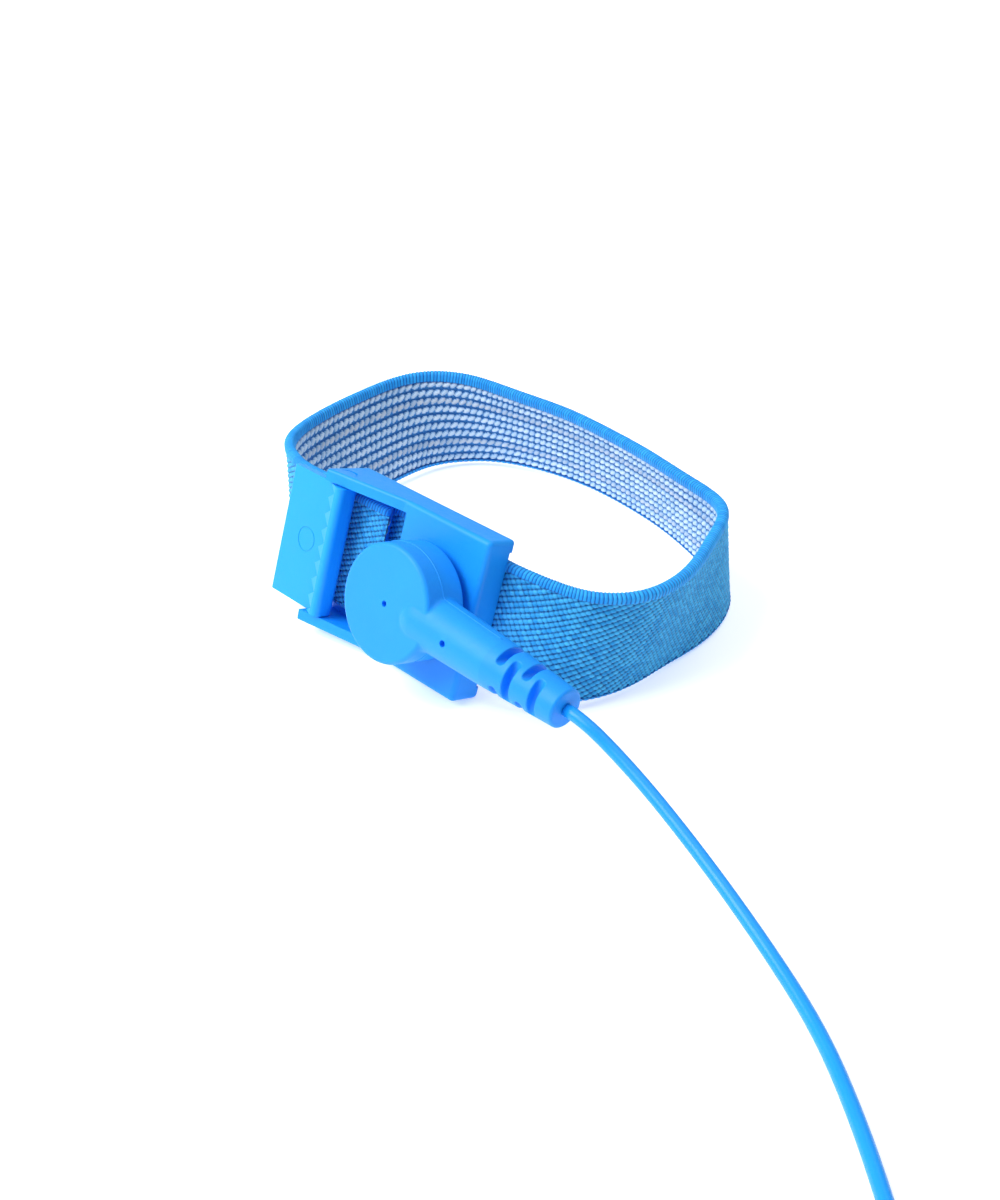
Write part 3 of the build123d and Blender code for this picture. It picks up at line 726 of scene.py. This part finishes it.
def coil_points():
    """The wound part: turns laid beside and on each other, then one that comes down outside them."""
    rng = np.random.default_rng(4)
    turns = [(radius, z) for z, radii in LAYERS for radius in radii]
    points = []
    reach = 18.2
    low = 1.0
    for k, (radius, z) in enumerate(turns):
        jitter = rng.uniform(-0.12, 0.12, 2) if 0 < k else (0.0, 0.0)
        slack = 0.25 + 0.5 * rng.random()
        before = (reach, low)
        reach, low = radius + jitter[0], z + 0.5 * jitter[1]
        for i in range(TURN_POINTS):
            share = min(1.0, i / (TURN_POINTS * 0.22))
            share = share * share * (3 - 2 * share)
            wave = 0.05 * math.sin(2 * math.pi * i / TURN_POINTS + 6 * slack)
            r = before[0] + (reach - before[0]) * share + wave
            points.append((k + i / TURN_POINTS, r, before[1] + (low - before[1]) * share))
    count = len(turns)
    way_out = [
        (0.00, reach, low),
        (0.12, 14.2, 9.0),
        (0.24, 15.2, 9.9),
        (0.36, 16.3, 10.0),
        (0.48, 17.4, 9.0),
        (0.60, 18.1, 7.4),
        (0.72, 18.2, 6.0),
        (0.84, 18.2, 4.7),
        (0.94, 18.2, 3.7),
        (1.04, 18.2, 3.0),
        (1.12, 18.2, 2.2),
        (1.20, 18.2, 1.4),
    ]
    points += [(count + turn, r, z) for turn, r, z in way_out]
    placed = []
    for turn, r, z in points[1:]:
        angle = COIL_START - 2 * math.pi * turn
        placed.append(COIL_CENTRE + Vector((r * math.cos(angle), r * math.sin(angle), z)) * MM)
    return placed


def smooth_line(points):
    """Points read from a NURBS line with the given control points."""
    data = bpy.data.curves.new("line", "CURVE")
    data.dimensions = "3D"
    data.resolution_u = 5
    spline = data.splines.new("NURBS")
    spline.points.add(len(points) - 1)
    for control, point in zip(spline.points, points):
        control.co = (*point, 1.0)
    spline.order_u = 3
    spline.use_endpoint_u = True
    holder = bpy.data.objects.new("line", data)
    mesh = bpy.data.meshes.new_from_object(holder)
    line = np.array([v.co for v in mesh.vertices], float)
    bpy.data.meshes.remove(mesh)
    bpy.data.objects.remove(holder)
    bpy.data.curves.remove(data)
    keep = np.concatenate([[True], np.linalg.norm(np.diff(line, axis=0), axis=1) > 1e-6])
    return line[keep]


def tube(name, line, radius, material, body, sides=14):
    """A closed round tube along a line of points, without twist."""
    tangents = np.gradient(line, axis=0)
    tangents /= np.linalg.norm(tangents, axis=1)[:, None]
    side = np.cross(tangents[0], (0.0, 0.0, 1.0))
    side /= np.linalg.norm(side)
    angles = np.linspace(0, 2 * math.pi, sides, endpoint=False)
    rings = []
    for point, tangent in zip(line, tangents):
        side = side - tangent * side.dot(tangent)
        side /= np.linalg.norm(side)
        other = np.cross(tangent, side)
        ring = point + radius * (np.outer(np.cos(angles), side) + np.outer(np.sin(angles), other))
        rings.append(ring)
    points = np.concatenate(rings)
    faces = []
    count = len(line)
    for i in range(count - 1):
        for j in range(sides):
            k = (j + 1) % sides
            faces.append((i * sides + j, i * sides + k, (i + 1) * sides + k, (i + 1) * sides + j))
    faces.append(tuple(range(sides))[::-1])
    faces.append(tuple((count - 1) * sides + j for j in range(sides)))
    return add_mesh(name, points, faces, material, body)


def make_cord(materials):
    start = head_point(CORD_START, 0, NECK_Z)
    second = head_point(RELIEF_END + 3.2, 0, NECK_Z)
    heading = Vector((math.cos(PLUG_HEADING), math.sin(PLUG_HEADING), 0.0))
    points = [start, second] + [Vector(p) for p in CORD_ROUTE]
    points += coil_points()
    points += [Vector(p) for p in LEAD_ROUTE]
    points += [PLUG_AT - heading * 0.006, PLUG_AT]
    line = smooth_line(points)
    cord = tube("earthing_cord", line, CORD_DIAMETER / 2, materials["cord_sheath"], None)
    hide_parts("cord", "cord_coil", "cord_plug_lead")
    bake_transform(cord)
    return line


# ---------------------------------------------------------------- floor
def make_floor():
    material, tree, shader = new_material("paper")
    tone = mixed(tree, ranged(tree, noise(tree, 6.0, 2.0), 0.0, 0.4), (0.93, 0.93, 0.93), (0.91, 0.91, 0.915))
    tree.links.new(tone, shader.inputs["Base Color"])
    shader.inputs["Roughness"].default_value = 0.8
    shader.inputs["Emission Color"].default_value = (1.0, 1.0, 1.0, 1.0)
    shader.inputs["Emission Strength"].default_value = PAPER_GLOW
    low = min(0.0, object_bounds()[0].z)
    half = 3.0
    corners = [(-half, -half, low), (half, -half, low), (half, half, low), (-half, half, low)]
    floor = add_mesh("floor", corners, [(0, 1, 2, 3)], material, None)


make_camera()
make_studio()
materials = make_materials()
dress_nodes(materials)
make_band(materials)
make_head_seam(materials)
make_cord(materials)
make_floor()
